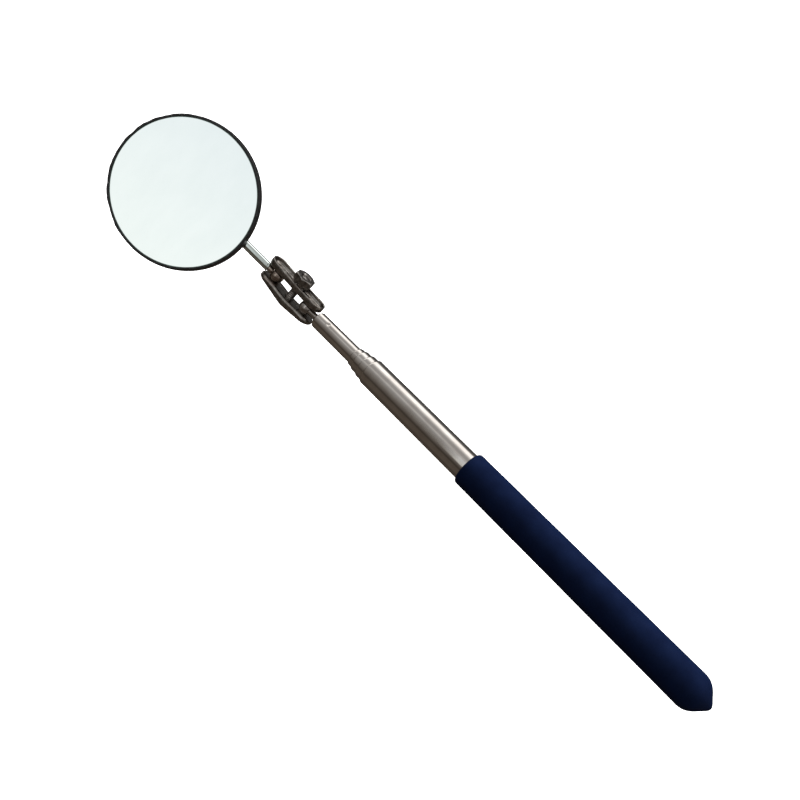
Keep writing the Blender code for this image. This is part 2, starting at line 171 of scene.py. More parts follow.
# ---- frames ---------------------------------------------------------------------------------
def local_frame(origin, x=None, y=None, z=None):
    """Matrix from local millimetres to the world, from a point and two of its three axes."""
    x = y.cross(z) if x is None else x
    y = z.cross(x) if y is None else y
    z = x.cross(y) if z is None else z
    turn = Matrix((x, y, z)).transposed().to_4x4()
    return Matrix.Translation(origin) @ turn @ Matrix.Scale(MM, 4)


JOINTS = {joint["name"]: joint for joint in frame["joints"]}
AXES = {name: Vector(joint["axis"]).normalized() for name, joint in JOINTS.items()}
HANDLE_BALL = Vector(JOINTS["handle_ball_tilt"]["pos_m"])
MIRROR_BALL = Vector(JOINTS["mirror_ball_tilt"]["pos_m"])
NORMAL = AXES["handle_ball_swing"]
ALONG_PLATES = (MIRROR_BALL - HANDLE_BALL).normalized()
FACING = next(Vector(m["axis"]) for m in frame["record"]["mounts"] if m["name"] == "rim_face").normalized()

TOOL = local_frame(HANDLE_BALL, x=AXES["handle_ball_tilt"], z=AXES["extend_stage_5"])
HANDLE = local_frame(HANDLE_BALL, x=AXES["handle_ball_tilt"], y=NORMAL)
CLAMP = local_frame(HANDLE_BALL, y=NORMAL, z=ALONG_PLATES)
SCREW = local_frame(CLAMP @ Vector((0, 0, SCREW_ALONG)), y=-ALONG_PLATES, z=NORMAL)
NUT = SCREW @ Matrix.Translation((0, 0, NUT_BASE)) @ Matrix.Rotation(radians(NUT_TURN), 4, "Z")
MIRROR_SIDE = local_frame(MIRROR_BALL, x=AXES["mirror_ball_tilt"], y=NORMAL)
STEM = local_frame(MIRROR_BALL, x=AXES["mirror_ball_tilt"], z=AXES["mirror_spin"])
HEAD = local_frame(MIRROR_BALL, x=FACING, z=AXES["mirror_spin"])
FACE = local_frame(HEAD @ Vector((FACE_HEIGHT, -STEM_OFFSET, HEAD_REACH)), z=FACING, x=-AXES["mirror_spin"])


# ---- making pieces ----------------------------------------------------------------------------
def mesh_object(name, verts, faces, where):
    mesh = bpy.data.meshes.new(name)
    mesh.from_pydata([where @ Vector(v) for v in verts], [], faces)
    shape = bmesh.new()
    shape.from_mesh(mesh)
    bmesh.ops.recalc_face_normals(shape, faces=shape.faces)
    shape.to_mesh(mesh)
    shape.free()
    obj = bpy.data.objects.new(name, mesh)
    bpy.context.scene.collection.objects.link(obj)
    return obj


def piece(node, solid, where, mat, sharp=32.0):
    """Turn a solid into the piece that stands for a CAD node and rides on that node's body."""
    obj = solid if isinstance(solid, bpy.types.Object) else mesh_object(node, *solid, where)
    obj.name = node + "_detailed"
    obj.data.materials.clear()
    obj.data.materials.append(mat)
    obj.data.shade_smooth()
    obj.data.set_sharp_from_angle(angle=radians(sharp))
    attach(obj, BODY_OF[node])
    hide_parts(node)
    return obj


def cut(obj, tools, where):
    """The object with solids cut out of it, each given as vertices and faces."""
    cutters = []
    for number, (verts, faces) in enumerate(tools):
        cutters.append(mesh_object(f"{obj.name}_cutter_{number}", verts, faces, where))
        step = obj.modifiers.new("cut", "BOOLEAN")
        step.solver = "EXACT"
        step.object = cutters[-1]
    graph = bpy.context.evaluated_depsgraph_get()
    mesh = bpy.data.meshes.new_from_object(obj.evaluated_get(graph))
    obj.modifiers.clear()
    obj.data = mesh
    for cutter in cutters:
        bpy.data.objects.remove(cutter, do_unlink=True)
    return obj


BODY_OF = {node: body for body, nodes in frame["record"]["behaviour"]["bodies"].items() for node in nodes}


# ---- shapes -----------------------------------------------------------------------------------
def arc(x, y, radius, start, end, steps):
    """Points on a circle from one angle in degrees to another."""
    angles = [radians(start + (end - start) * i / steps) for i in range(steps + 1)]
    return [(x + radius * cos(a), y + radius * sin(a)) for a in angles]


def eased(points, steps=4):
    """A profile whose corners that carry a third value are rounded off over that length."""
    out = []
    for i, point in enumerate(points):
        if len(point) == 2:
            out.append(point)
            continue
        here = Vector(point[:2])
        before = Vector(points[i - 1][:2]) - here
        after = Vector(points[(i + 1) % len(points)][:2]) - here
        back = min(point[2], before.length * 0.4)
        ahead = min(point[2], after.length * 0.4)
        start = here + before.normalized() * back
        end = here + after.normalized() * ahead
        out.append(tuple(here + before.normalized() * back * HOLD))
        for k in range(steps + 1):
            t = k / steps
            out.append(tuple(start * (1 - t) ** 2 + here * (2 * t * (1 - t)) + end * t ** 2))
        out.append(tuple(here + after.normalized() * ahead * HOLD))
    return out


def refined(profile, step, low=-1000.0, high=1000.0):
    """A profile with extra points, one every step, on its long stretches between two heights."""
    out = []
    for (r0, z0), (r1, z1) in zip(profile, profile[1:] + profile[:1]):
        out.append((r0, z0))
        count = int(abs(z1 - z0) / step) if r0 or r1 else 0
        for k in range(1, count):
            z = z0 + (z1 - z0) * k / count
            if low < z < high:
                out.append((r0 + (r1 - r0) * k / count, z))
    return out


def turned(profile, sides, shape=None):
    """A turned solid from (radius, height) points; shape may move a point, given its angle."""
    verts = []
    rings = []
    for r, z in profile:
        steps = sides if r else 1
        rings.append(range(len(verts), len(verts) + steps))
        for k in range(steps):
            angle = 2 * pi * k / sides
            rr, zz = shape(r, angle, z) if shape else (r, z)
            verts.append((rr * cos(angle), rr * sin(angle), zz))
    faces = []
    for a, b in zip(rings, rings[1:] + rings[:1]):
        if len(a) == 1 and len(b) == 1:
            continue
        for k in range(sides):
            after = (k + 1) % sides
            corners = [a[k % len(a)], a[after % len(a)], b[after % len(b)], b[k % len(b)]]
            faces.append(tuple(dict.fromkeys(corners)))
    return verts, faces


def thread(turns_from, turns_to, depth):
    """Shape that cuts a screw thread between two heights, fading out at its ends."""
    def shape(r, angle, z):
        fade = max(0.0, min(1.0, (z - turns_from) / THREAD_PITCH, (turns_to - z) / THREAD_PITCH))
        phase = z / THREAD_PITCH - angle / (2 * pi)
        ridge = abs(2 * (phase - floor(phase)) - 1)
        return r - depth * fade * min(1.0, 1.25 * ridge), z
    return shape


def extruded(outline, low, high, bevel):
    """A straight-sided solid along local Z from an outline, with its end edges bevelled."""
    shape = bmesh.new()
    bottom = [shape.verts.new((x, y, low)) for x, y in outline]
    face = shape.faces.new(bottom)
    made = bmesh.ops.extrude_face_region(shape, geom=[face])
    top = [v for v in made["geom"] if isinstance(v, bmesh.types.BMVert)]
    bmesh.ops.translate(shape, verts=top, vec=(0, 0, high - low))
    rims = [e for e in shape.edges if abs(e.verts[0].co.z - e.verts[1].co.z) < bevel]
    bmesh.ops.bevel(shape, geom=rims, offset=bevel, segments=3, profile=0.5, affect="EDGES")
    bmesh.ops.triangulate(shape, faces=[f for f in shape.faces if len(f.verts) > 4])
    shape.verts.index_update()
    verts = [tuple(v.co) for v in shape.verts]
    faces = [tuple(v.index for v in f.verts) for f in shape.faces]
    shape.free()
    return verts, faces


# ---- grip and tubes ---------------------------------------------------------------------------
def tube_radius(i):
    return OUTER_TUBE_R - i * TUBE_STEP


def tube_base(i):
    if i == 0:
        return OUTER_TUBE_END
    return OUTER_TUBE_END - PLUG_LENGTH - GAP - BUSHING_FLANGE - GAP - (i - 1) * STAGE_PITCH


def grip():
    """Dipped sleeve: thickness wanders a little and a small drip is left at the nose."""
    bore = OUTER_TUBE_R + GAP
    top = -GRIP_START
    end = GRIP_END
    shoulder = end - GRIP_NOSE
    fillet = GRIP_MOUTH_FILLET

    def shape(r, angle, z):
        in_mouth = z > top - fillet / 2
        in_bore = r <= bore and z > -OUTER_TUBE_END - 2 * GAP
        if in_mouth or in_bore:
            return r, z
        wave = noise.noise(Vector((1.3 * cos(angle), 1.3 * sin(angle), z * 0.07)))
        drip = GRIP_DRIP * exp(-(r / GRIP_DRIP_R) ** 2) if -z > shoulder else 0.0
        return r * (1 + GRIP_WAVE * wave / GRIP_R), z - drip

    outside = arc(GRIP_R - fillet, top - fillet, fillet, 88, 0, 8)
    nose = [(GRIP_R * cos(radians(a)), -shoulder - GRIP_NOSE * sin(radians(a))) for a in range(0, 88, 4)]
    inside = [(0.0, -OUTER_TUBE_END - GAP), (bore, -OUTER_TUBE_END - GAP), (bore, top - MOUTH_LAND)]
    return turned(refined(outside + nose + [(0.0, -end)] + inside, 1.2), 128, shape)


def tube(i):
    """Tube i from the outside, its mouth rolled in; the inner one is staked to its stud."""
    outer = tube_radius(i)
    bore = outer - TUBE_WALL
    lip = STUD_MOUTH_R if i == len(TUBE_MOUTHS) - 1 else tube_radius(i + 1) + GAP
    top = -TUBE_MOUTHS[i]
    base = -tube_base(i)
    reach = outer - lip - 0.02
    mouth = [(outer - reach + reach * cos(radians(a)), top - MOUTH_ROLL * (1 - sin(radians(a))))
             for a in range(90, -1, -9)]
    body = [(outer, base + 0.1), (outer - 0.06, base), (bore + 0.06, base), (bore, base + 0.06),
            (bore, top - MOUTH_ROLL - 0.2), (lip, top - MOUTH_ROLL + 0.25), (lip, top - MOUTH_LAND)]
    if i < len(TUBE_MOUTHS) - 1:
        return turned(mouth + body, 128)

    def stake(r, angle, z):
        away = outer * abs((angle - radians(STAKE_ANGLE) + pi) % (2 * pi) - pi)
        depth = STAKE_DEPTH * exp(-(hypot(away, z + STAKE_ALONG) / STAKE_R) ** 4)
        return (r - depth if r > outer - 0.01 else r), z

    near = 3 * STAKE_R
    profile = refined(mouth + body, 0.12, -STAKE_ALONG - near, -STAKE_ALONG + near)
    return turned(profile, 144, stake)


def bushing(i):
    """Turned bushing with an oil groove round its flange."""
    flange = tube_radius(i - 1) - TUBE_WALL - FIT
    spigot = tube_radius(i) - TUBE_WALL - FIT
    bore = min(BUSHING_BORE, spigot - BUSHING_WALL)
    foot = -tube_base(i) - GAP
    groove = foot - BUSHING_FLANGE / 2
    profile = [(spigot, foot + BUSHING_SPIGOT, 0.2), (spigot, foot), (flange, foot, 0.12),
               (flange, groove + 0.3), (flange - 0.2, groove + 0.2, 0.05), (flange - 0.2, groove - 0.2, 0.05),
               (flange, groove - 0.3), (flange, foot - BUSHING_FLANGE, 0.12),
               (bore, foot - BUSHING_FLANGE, 0.12), (bore, foot + BUSHING_SPIGOT, 0.12)]
    return turned(eased(profile, 3), 72)


def end_plug():
    radius = OUTER_TUBE_R - TUBE_WALL - GAP
    top = -OUTER_TUBE_END + PLUG_LENGTH
    profile = [(0.0, top - 0.4), (1.2, top - 0.4, 0.1), (1.5, top, 0.1), (radius, top, 0.3),
               (radius, -OUTER_TUBE_END, 0.1), (0.0, -OUTER_TUBE_END)]
    return turned(eased(profile), 72)


# ---- balls and stem ---------------------------------------------------------------------------
def ball(flat_side):
    """Turned ball whose flat and centre mark are on the given side of its axis, 1 or -1."""
    rim = atan2(sqrt(BALL_R ** 2 - BALL_FLAT ** 2), BALL_FLAT)
    angles = [-pi / 2 + (rim + pi / 2) * i / 40 for i in range(1, 41)]
    top = BALL_R * sin(rim)
    profile = [(0.0, -BALL_R)] + [(BALL_R * cos(a), BALL_R * sin(a)) for a in angles]
    profile += [(0.22, top), (0.0, top - 0.15)]
    return turned([(r, flat_side * z) for r, z in profile], 72)


def socket(radius, side):
    """End of a neck that fits over its ball, from the axis out to the given radius."""
    shell = BALL_R + GAP
    reach = pi / 2 - atan2(sqrt(shell ** 2 - radius ** 2), radius)
    return [(shell * sin(reach * i / 6), side * shell * cos(reach * i / 6)) for i in range(7)]


def ball_stud():
    shank = tube_radius(len(TUBE_MOUTHS) - 1) - TUBE_WALL - FIT
    shoulder = -TUBE_MOUTHS[-1] - MOUTH_ROLL - 0.35
    profile = [(NECK_R, shoulder, 0.35), (shank, shoulder, 0.3), (shank, shoulder - STUD_LENGTH, 0.3),
               (0.0, shoulder - STUD_LENGTH)]
    return turned(socket(NECK_R, -1) + eased([(NECK_R, -4.0)] + profile)[1:], 72)


def mirror_ball_neck():
    top = STEM_START - GAP
    profile = [(NECK_R, 3.2), (NECK_R, top, 0.15), (SPIGOT_R, top, 0.08), (SPIGOT_R, SPIGOT_END, 0.15),
               (0.0, SPIGOT_END)]
    return turned(socket(NECK_R, 1) + eased(profile)[1:], 64)


def mirror_stem():
    """Rod with turned ends and a shallow ring groove beside the neck."""
    bore = SPIGOT_R + GAP
    blind = SPIGOT_END + 0.2
    groove = STEM_START + 0.9
    profile = [(0.0, STEM_END), (STEM_R, STEM_END, 0.35), (STEM_R, groove + 0.18),
               (STEM_R - 0.12, groove, 0.1), (STEM_R, groove - 0.18), (STEM_R, STEM_START, 0.35),
               (bore, STEM_START, 0.1), (bore, blind), (0.0, blind)]
    return turned(eased(profile), 96)


# ---- clamp ------------------------------------------------------------------------------------
def plate_ring(inset):
    """Outline of a plate in (across, along) from its middle; point i pairs with point -i."""
    radius = PLATE_HALF - inset
    end = BALL_SPACING / 2 + PLATE_OVERHANG - PLATE_HALF
    straight = [(radius, end - 2 * end * i / 24) for i in range(1, 24)]
    half = arc(0, end, radius, 90, 0, 16) + straight + arc(0, -end, radius, 0, -90, 16)
    return half + [(-x, y) for x, y in reversed(half[1:-1])]


def tray(inner, base, rim, side, fillet):
    """Pressed plate with a raised rim; heights are functions of the place along it."""
    def quarter(steps):
        return [radians(90 * i / steps) for i in range(steps + 1)]

    levels = [(TRAY_CORNER * HOLD, inner, 0.0)]
    levels += [(TRAY_CORNER * (1 - sin(a)), inner, TRAY_CORNER * (1 - cos(a))) for a in quarter(6)]
    levels += [(RIM_EDGE * (1 - cos(a)), rim, -RIM_EDGE * (1 - sin(a))) for a in quarter(3)]
    levels += [(TRAY_WALL - RIM_EDGE * (1 - sin(a)), rim, -RIM_EDGE * (1 - cos(a))) for a in quarter(3)]
    levels += [(TRAY_WALL + fillet * (1 - cos(a)), base, fillet * (1 - sin(a))) for a in quarter(6)]
    levels.append((TRAY_WALL + fillet * HOLD, base, 0.0))
    verts = []
    for inset, height, rise in levels:
        verts += [(x, side * (height(z) + rise), z + BALL_SPACING / 2) for x, z in plate_ring(inset)]
    count = len(plate_ring(0.0))
    faces = []
    for level in range(len(levels) - 1):
        low = level * count
        for i in range(count):
            after = (i + 1) % count
            faces.append((low + i, low + after, low + count + after, low + count + i))
    for low in (0, (len(levels) - 1) * count):
        for i in range(count // 2):
            corners = (low + i, low + i + 1, low + (count - i - 1) % count, low + (count - i) % count)
            faces.append(tuple(dict.fromkeys(corners)))
    return verts, faces


def along_normal(solid, along):
    """A solid turned about Z, laid on the clamp's normal at a distance along the plates."""
    verts, faces = solid
    return [(-y, z, along - x) for x, y, z in verts], faces


def seat_drills(inner, base, side):
    """Holes over the balls, flared on the outer side, and the screw's hole."""
    seat = sqrt(BALL_R ** 2 - inner ** 2) + GAP
    drills = []
    for along, radius in ((0.0, seat), (BALL_SPACING, seat), (SCREW_ALONG, SCREW_HOLE_R)):
        flare = radius + SEAT_FLARE
        profile = [(0.0, side * 1.0), (radius, side * 1.0), (radius, side * (base - SEAT_FLARE * 0.8)),
                   (flare, side * base), (flare + 0.25, side * (base + 0.25)), (0.0, side * (base + 0.25))]
        drills.append(along_normal(turned(profile, 48), along))
    return drills


def front_plate():
    reach = BALL_SPACING / 2 + PLATE_OVERHANG

    def rim(z):
        return FRONT_RIM_MIDDLE + (FRONT_RIM_END - FRONT_RIM_MIDDLE) * min(1.0, abs(z) / reach) ** 2.5

    solid = tray(lambda z: FRONT_INNER, lambda z: FRONT_FLOOR, rim, 1, FRONT_DISH)
    plate = mesh_object("clamp_plate_front", *solid, CLAMP)
    return cut(plate, seat_drills(FRONT_INNER, FRONT_FLOOR, 1), CLAMP)


def back_plate():
    """Bowed outwards between the balls, its rim highest where it turns at the screw."""
    bend = SCREW_ALONG - BALL_SPACING / 2
    reach = BALL_SPACING / 2 + PLATE_OVERHANG + bend

    def inner(z):
        return BACK_INNER + BACK_BOW * (1 + cos(pi * min(abs(z - bend) / SCREW_ALONG, 1.0))) / 2

    def rim(z):
        along = (hypot(z - bend, BACK_BEND) - BACK_BEND) / (reach - BACK_BEND)
        return BACK_RIM_MIDDLE - (BACK_RIM_MIDDLE - BACK_RIM_END) * min(1.0, along)

    plate = mesh_object("clamp_plate_back", *tray(inner, lambda z: BACK_FLOOR, rim, -1, BACK_DISH), CLAMP)
    return cut(plate, seat_drills(BACK_INNER, BACK_FLOOR, -1), CLAMP)


def cross_recess(face):
    """Tapered cross driven into the screw's head from its face."""
    def cross(arm, half, z):
        corner = [(arm, -half), (arm, half), (half, half)]
        points = []
        for quarter_turn in range(4):
            c, s = round(cos(quarter_turn * pi / 2)), round(sin(quarter_turn * pi / 2))
            points += [(x * c - y * s, x * s + y * c, z) for x, y in corner]
        return points

    verts = cross(RECESS_ARM + 0.1, RECESS_HALF + 0.03, face - 0.2)
    verts += cross(RECESS_ARM * 0.45, RECESS_HALF * 0.7, face + RECESS_DEPTH)
    count = len(verts) // 2
    faces = [(i, (i + 1) % count, count + (i + 1) % count, count + i) for i in range(count)]
    for low in (0, count):
        inner = [low + i for i in range(2, count, 3)]
        faces.append(tuple(inner))
        for arm in range(4):
            faces.append((inner[arm - 1], low + 3 * arm, low + 3 * arm + 1, inner[arm]))
    return verts, faces


def clamp_screw():
    """Threaded shank and a pan head with a cross recess."""
    under_head = -BACK_FLOOR - GAP
    end = NUT_BASE + NUT_H - SCREW_BELOW_NUT
    face = under_head - HEAD_H
    shank = [(0.0, end + 0.18), (0.5, end + 0.15), (0.9, end + 0.05), (SCREW_R - 0.4, end - 0.05, 0.1),
             (SCREW_R, end - 0.45, 0.05), (SCREW_R, under_head + 0.3), (SCREW_R + 0.15, under_head)]
    edge = under_head - HEAD_EDGE
    head = [(HEAD_R, under_head, 0.12)]
    head += [(HEAD_R * cos(radians(a)) ** 0.8, edge - (HEAD_H - HEAD_EDGE) * sin(radians(a)))
             for a in range(0, 88, 8)]
    profile = refined(eased(shank + head + [(0.0, face)]), THREAD_PITCH / 9, under_head, end)
    solid = turned(profile, 72, thread(under_head + 1.2, end + 0.3, THREAD_DEPTH))
    screw = mesh_object("clamp_screw", *solid, SCREW)
    return cut(screw, [cross_recess(face)], SCREW)


def lock_washer():
    """Split ring of rounded square section."""
    section = eased([(SCREW_HOLE_R, -WASHER_T / 2, 0.1), (WASHER_R, -WASHER_T / 2, 0.1),
                     (WASHER_R, WASHER_T / 2, 0.1), (SCREW_HOLE_R, WASHER_T / 2, 0.1)])
    height = WASHER_SEAT + GAP + WASHER_T / 2
    steps = 72
    verts = []
    for k in range(steps + 1):
        t = k / steps
        for r, z in section:
            split = WASHER_SPLIT * (1.6 - 0.6 * (r - SCREW_HOLE_R) / (WASHER_R - SCREW_HOLE_R))
            angle = radians(split + (360 - 2 * split) * t)
            verts.append((r * cos(angle), r * sin(angle), height + z))
    count = len(section)
    faces = [tuple(range(count)), tuple(range(steps * count, (steps + 1) * count))]
    for k in range(steps):
        low = k * count
        for i in range(count):
            after = (i + 1) % count
            faces.append((low + i, low + after, low + count + after, low + count + i))
    return verts, faces


def clamp_nut():
    """Hex nut, chamfered on both faces, with a countersunk threaded bore."""
    flat = NUT_FLATS / 2
    corner = NUT_FLATS / sqrt(3)

    def hexagon(angle, inset):
        folded = (angle + pi / 6) % (pi / 3) - pi / 6
        return min(flat / cos(folded), corner - 0.12) - inset

    def chamfer(radius):
        return 0.62 * max(0.0, radius - flat * 0.95)

    rings = [(NUT_BORE + NUT_SINK, None, 0.0), (flat * 0.95, None, 0.0), (None, 0.1, 0.0), (None, 0.0, 0.1)]
    rings += [(None, 0.0, NUT_H - 0.1), (None, 0.1, NUT_H), (flat * 0.95, None, NUT_H),
              (NUT_BORE + NUT_SINK, None, NUT_H)]
    rings += [(NUT_BORE, None, NUT_H - NUT_SINK - (NUT_H - 2 * NUT_SINK) * i / 20) for i in range(21)]
    bore = thread(NUT_SINK - 0.5, NUT_H - NUT_SINK + 0.5, -THREAD_DEPTH)
    sides = 144
    verts = []
    for radius, inset, z in rings:
        for k in range(sides):
            angle = 2 * pi * k / sides
            r = radius if inset is None else hexagon(angle, inset)
            low = chamfer(r)
            height = max(low, z) if z < NUT_H / 2 else min(NUT_H - low, z)
            if radius == NUT_BORE:
                r, height = bore(r, angle, z)
            elif inset == 0.0:
                height = low + z if z < NUT_H / 2 else z - low
            verts.append((r * cos(angle), r * sin(angle), height))
    faces = []
    for level in range(len(rings)):
        a = level * sides
        b = (level + 1) % len(rings) * sides
        for k in range(sides):
            after = (k + 1) % sides
            faces.append((a + k, a + after, b + after, b + k))
    return verts, faces


# ---- mirror head --------------------------------------------------------------------------------
def stem_saddle():
    """Bent strap with its bends eased, spot-welded to the case through both feet."""
    top = STEM_R
    low = top - SADDLE_T
    inner = STEM_R + GAP
    outer = inner + SADDLE_T
    over = [(top, -SADDLE_HALF, 0.1), (top, -inner)] + arc(0, 0, inner, 270, 90, 24)[1:-1]
    under = [(low, SADDLE_HALF, 0.1), (low, outer + 0.05, 0.3)] + arc(0, 0, outer, 112, 248, 24)
    outline = over + [(top, inner), (top, SADDLE_HALF, 0.1)] + under
    outline += [(low, -outer - 0.05, 0.3), (low, -SADDLE_HALF, 0.1)]
    solid = extruded(eased(outline), SADDLE_START, SADDLE_START + SADDLE_LENGTH, 0.12)
    saddle = mesh_object("stem_saddle", *solid, HEAD)
    welds = []
    foot = (outer + SADDLE_HALF) / 2
    for side in (-1, 1):
        dent = turned([(0.0, -1.0), (WELD_R, -1.0), (WELD_R, 0.0), (WELD_R * 0.8, 0.12), (0.0, 0.16)], 40)
        across = side * (foot + 0.15)
        middle = SADDLE_START + SADDLE_LENGTH / 2
        welds.append(([(low + z, across + y, middle - x) for x, y, z in dent[0]], dent[1]))
    return cut(saddle, welds, HEAD)


def mirror_case():
    """Pressed cup; its edge is rolled over the glass a little unevenly."""
    back = -CASE_DEPTH
    face = GAP + LIP_T

    def shape(r, angle, z):
        if z <= GAP - 0.01 and r < CASE_BORE + 0.1:
            return r, z
        near_lip = max(0.0, min(1.0, (z + CRIMP_REACH) / CRIMP_REACH))
        uneven = noise.noise(Vector((5 * cos(angle), 5 * sin(angle), 1.0)))
        ripple = noise.noise(Vector((16 * cos(angle), 16 * sin(angle), 5.0)))
        wave = CRIMP_WAVE * near_lip * (uneven + 0.7 * ripple)
        lift = 0.5 * CRIMP_WAVE * ripple if z > GAP + 0.05 else 0.0
        return r + wave, z + lift

    outside = [(LIP_R, face, 0.2), (CASE_LIP_OUTER, face, 0.4), (CASE_R, back + 2.0, 0.8),
               (CASE_R, back, CASE_CORNER), (0.0, back)]
    inside = [(0.0, back + CASE_BACK_T), (CASE_BORE, back + CASE_BACK_T, 0.3), (CASE_BORE, GAP),
              (LIP_R, GAP, 0.1)]
    profile = outside + inside
    return turned(refined(eased(profile, 6), 0.35, back + 1.0, face), 256, shape)


def mirror_glass():
    """Glass disc with a ground bevel on its front edge."""
    profile = [(0.0, 0.0), (GLASS_R - GLASS_BEVEL, 0.0, 0.06), (GLASS_R, -GLASS_BEVEL, 0.06),
               (GLASS_R, -GLASS_T, 0.2), (0.0, -GLASS_T)]
    return turned(eased(profile), 192)


def mirror_pad():
    """Foam tape: soft edges and an uneven, open-celled surface."""
    top = -GLASS_T - GAP

    def shape(r, angle, z):
        cells = noise.noise(Vector((r * cos(angle), r * sin(angle), z)))
        return r - 0.05 * abs(cells), z + (0.04 * abs(cells) if z < top - PAD_T / 2 else -0.04 * abs(cells))

    rings = [PAD_R * k / 28 for k in range(1, 28)]
    profile = [(0.0, top)] + [(r, top) for r in rings] + [(PAD_R, top, 0.25), (PAD_R, top - PAD_T, 0.25)]
    profile += [(r, top - PAD_T) for r in reversed(rings)] + [(0.0, top - PAD_T)]
    return turned(eased(profile), 144, shape)


# ---- materials ------------------------------------------------------------------------------------
# Reflected colours of the metals, each from its dull patches to its bright ones.
NICKEL = (0.57, 0.525, 0.485), (0.66, 0.62, 0.58)
CHROME = (0.66, 0.72, 0.69), (0.74, 0.80, 0.765)
STUD_PLATE = (0.40, 0.37, 0.34), (0.56, 0.52, 0.48)
PLAIN_STEEL = (0.16, 0.147, 0.132), (0.42, 0.395, 0.365)
CLAMP_STEEL = (0.17, 0.155, 0.14), (0.36, 0.335, 0.305)
SCREW_STEEL = (0.20, 0.185, 0.17), (0.46, 0.43, 0.40)
NUT_STEEL = (0.12, 0.112, 0.102), (0.40, 0.38, 0.355)
HANDLE_BALL_STEEL = (0.34, 0.32, 0.30), (0.62, 0.59, 0.56)
MIRROR_BALL_STEEL = (0.20, 0.15, 0.12), (0.58, 0.50, 0.44)
BRASS = (0.56, 0.38, 0.15), (0.78, 0.60, 0.30)
RUSTY_BROWN = (0.30, 0.215, 0.18)
PIT_BROWN = (0.05, 0.04, 0.035)
# The other finishes, in the same way.
VINYL = (0.0009, 0.0048, 0.025), (0.0014, 0.0074, 0.036)
VINYL_DUST = (0.006, 0.013, 0.040)
LACQUER = (0.002, 0.002, 0.0022), (0.006, 0.006, 0.0065)
LACQUER_WEAR = (0.09, 0.085, 0.08)
SILVER = (0.885, 0.935, 0.925), (0.92, 0.965, 0.955)
GLASS_EDGE = (0.20, 0.36, 0.30), (0.42, 0.58, 0.52)
BACKING_PAINT = (0.16, 0.17, 0.18), (0.22, 0.23, 0.24)
# The foam's pair runs from painted shade in the hollows of its cells to its plain grey.
FOAM_AND_PORE_SHADE = (0.33, 0.33, 0.31), (0.60, 0.60, 0.56)


class Finish:
    """A Principled material whose procedural detail is laid out in a piece's own millimetres."""

    def __init__(self, name, where):
        self.material = bpy.data.materials.new(name)
        self.material.use_nodes = True
        self.tree = self.material.node_tree
        self.shader = self.tree.nodes["Principled BSDF"]
        inverse = where.inverted()
        place, turn, scale = inverse.decompose()
        coordinates = self.add("TexCoord").outputs["Object"]
        self.place = self.add("Mapping", {"Vector": coordinates, "Location": place,
                                          "Rotation": turn.to_euler(), "Scale": scale}).outputs[0]

    def add(self, kind, inputs=(), **settings):
        made = self.tree.nodes.new("ShaderNode" + kind)
        for key, value in settings.items():
            setattr(made, key, value)
        self.feed(made, inputs)
        return made

    def feed(self, made, inputs):
        for key, value in dict(inputs).items():
            if isinstance(value, bpy.types.NodeSocket):
                self.tree.links.new(value, made.inputs[key])
            else:
                made.inputs[key].default_value = value

    def noise(self, size, detail=4.0, stretch=(1, 1, 1)):
        """Noise from 0 to 1 with features of about the given size in millimetres."""
        cells = [1 / (size * s) for s in stretch]
        scaled = self.add("VectorMath", {0: self.place, 1: cells}, operation="MULTIPLY").outputs[0]
        return self.add("TexNoise", {"Vector": scaled, "Scale": 1.0, "Detail": detail}).outputs["Fac"]

    def span(self, value, start, end, low, high):
        """Map a value from one range to another, held at its ends."""
        inputs = {"Value": value, "From Min": start, "From Max": end, "To Min": low, "To Max": high}
        return self.add("MapRange", inputs).outputs[0]

    def maths(self, operation, *values):
        return self.add("Math", dict(enumerate(values)), operation=operation).outputs[0]

    def mix(self, factor, first, second):
        """Colour from first to second; sockets or RGB triples."""
        sides = [v if isinstance(v, bpy.types.NodeSocket) else (*v, 1.0) for v in (first, second)]
        made = self.add("Mix", {0: factor, 6: sides[0], 7: sides[1]}, data_type="RGBA")
        return made.outputs[2]

    def bump(self, height, depth, strength=1.0, under=None):
        inputs = {"Height": height, "Distance": depth * MM, "Strength": strength}
        if under:
            inputs["Normal"] = under
        return self.add("Bump", inputs).outputs[0]

    def axis(self, name):
        return self.add("SeparateXYZ", {0: self.place}).outputs[name]

    def radius(self):
        """Distance from the piece's local Z axis."""
        flat = self.add("VectorMath", {0: self.place, 1: (1, 1, 0)}, operation="MULTIPLY").outputs[0]
        return self.add("VectorMath", {0: flat}, operation="LENGTH").outputs["Value"]

    def done(self, **inputs):
        names = {key.replace("_", " "): value for key, value in inputs.items()}
        self.feed(self.shader, names)
        return self.material


def bright_plate(name, where, tones, rough):
    """Polished plating over drawn metal: lines along the piece, smudges and a few fine scratches."""
    f = Finish(name, where)
    smudge = f.noise(5.0, 5.0)
    drawn = f.noise(0.06, 3.0, (1, 1, 300))
    scratch = f.span(f.noise(0.12, 2.0, (1, 3, 60)), 0.66, 0.74, 0.0, 1.0)
    colour = f.mix(f.span(smudge, 0.35, 0.68, 0.0, 1.0), *tones)
    polish = f.span(smudge, 0.3, 0.72, rough * 1.35, rough * 0.8)
    finish = f.maths("ADD", polish, f.maths("MULTIPLY", scratch, 0.1))
    normal = f.bump(drawn, 0.004, 0.5, f.bump(scratch, -0.006, 0.5))
    return f.done(Base_Color=colour, Metallic=1.0, Roughness=finish, Normal=normal)


